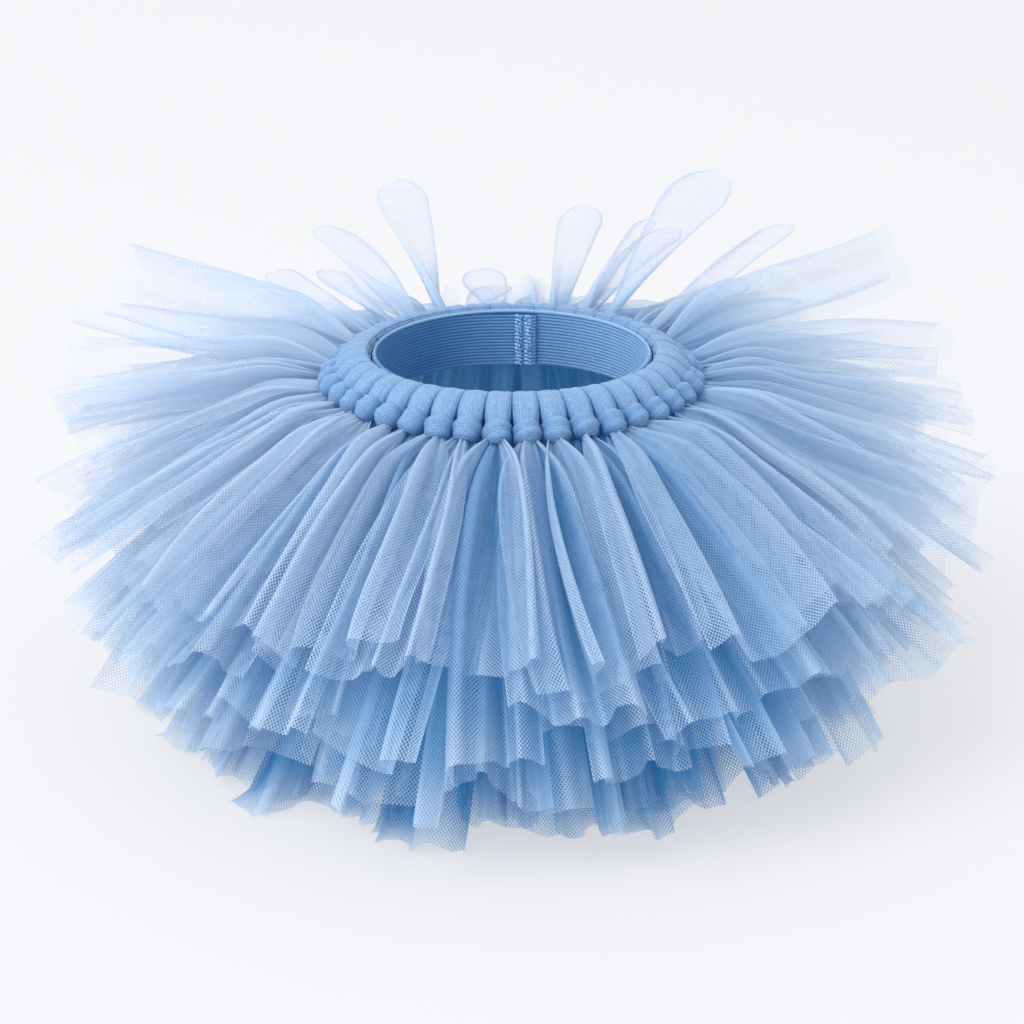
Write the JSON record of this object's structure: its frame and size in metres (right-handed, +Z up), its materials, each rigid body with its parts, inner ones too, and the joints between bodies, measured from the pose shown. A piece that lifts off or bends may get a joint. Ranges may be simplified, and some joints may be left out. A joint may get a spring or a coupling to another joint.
{
  "type": "tutu",
  "caption": "Baby's pale blue tulle tutu: a ribbed elastic waistband with strips of tulle tied round it in a row of knots, their pleated tails fanned out in three layers.",
  "frame": {"origin": "centre of the outline on the floor that the tutu stands on", "axes": "+Z up, front towards -Y, the elastic's lapped join at the back (+Y), the wearer's left towards +X"},
  "size_m": [0.4261, 0.4019, 0.1794],
  "materials": {
    "tulle": "soft nylon net, matt with a faint sheen",
    "tulle_lower_layers": "the same net where layers lie on each other",
    "elastic": "ribbed knitted elastic"
  },
  "bodies": {
    "root": {"elastic_band": "elastic", "elastic_overlap": "elastic", "strip_01": "tulle", "strip_02": "tulle", "strip_03": "tulle", "strip_04": "tulle", "strip_05": "tulle", "strip_06": "tulle", "strip_07": "tulle", "strip_08": "tulle", "strip_09": "tulle", "strip_10": "tulle", "strip_11": "tulle", "strip_12": "tulle", "strip_13": "tulle", "strip_14": "tulle", "strip_15": "tulle", "strip_16": "tulle", "strip_17": "tulle", "strip_18": "tulle", "strip_19": "tulle", "strip_20": "tulle", "strip_21": "tulle", "strip_22": "tulle", "strip_23": "tulle", "strip_24": "tulle", "strip_25": "tulle", "strip_26": "tulle", "strip_27": "tulle", "strip_28": "tulle", "strip_29": "tulle", "strip_30": "tulle", "strip_31": "tulle", "strip_32": "tulle", "strip_33": "tulle", "strip_34": "tulle", "strip_35": "tulle", "strip_36": "tulle", "strip_37": "tulle", "strip_38": "tulle", "strip_39": "tulle", "strip_40": "tulle", "middle_tails_1": "tulle_lower_layers", "middle_tails_2": "tulle_lower_layers", "middle_tails_3": "tulle_lower_layers", "middle_tails_4": "tulle_lower_layers", "middle_tails_5": "tulle_lower_layers", "middle_tails_6": "tulle_lower_layers", "middle_tails_7": "tulle_lower_layers", "middle_tails_8": "tulle_lower_layers", "low_tails_1": "tulle_lower_layers", "low_tails_2": "tulle_lower_layers", "low_tails_3": "tulle_lower_layers", "low_tails_4": "tulle_lower_layers", "low_tails_5": "tulle_lower_layers", "low_tails_6": "tulle_lower_layers", "low_tails_7": "tulle_lower_layers", "low_tails_8": "tulle_lower_layers"}
  },
  "joints": []
}
